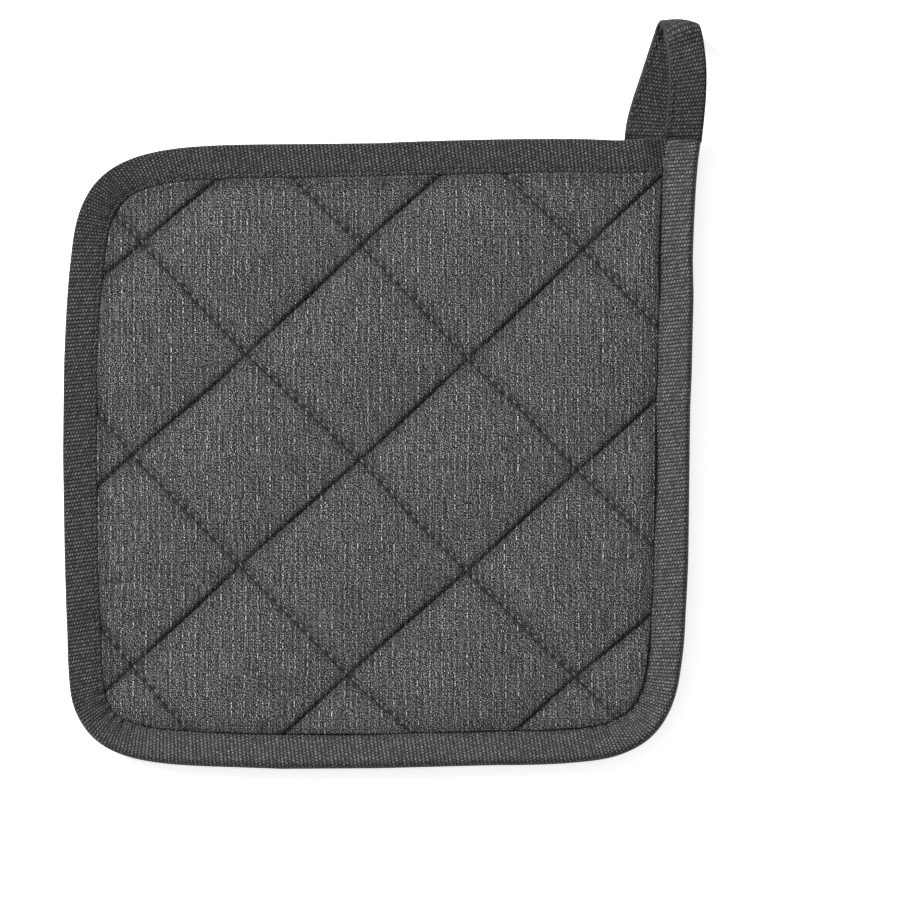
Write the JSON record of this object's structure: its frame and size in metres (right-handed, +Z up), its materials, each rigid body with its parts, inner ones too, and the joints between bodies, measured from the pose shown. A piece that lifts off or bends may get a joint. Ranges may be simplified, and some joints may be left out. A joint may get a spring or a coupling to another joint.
{
  "type": "pot holder",
  "caption": "Square quilted pot holder with a taped edge and a cloth hanging loop at one corner, lying flat, to hold or stand hot pans on.",
  "frame": {"origin": "on the surface that the holder lies on, under the middle of the box round the whole holder with its loop", "axes": "+X right across the face, +Y up the face towards the loop, +Z up out of the face"},
  "size_m": [0.2038, 0.2375, 0.0107],
  "materials": {
    "quilted_cotton": "matt, small dobby weave with raised warp dashes, quilted",
    "cotton_tape": "matt, ribbed tape weave"
  },
  "bodies": {
    "root": {"quilted_pad": "quilted_cotton", "edge_binding": "cotton_tape", "hanging_loop": "cotton_tape"}
  },
  "joints": []
}
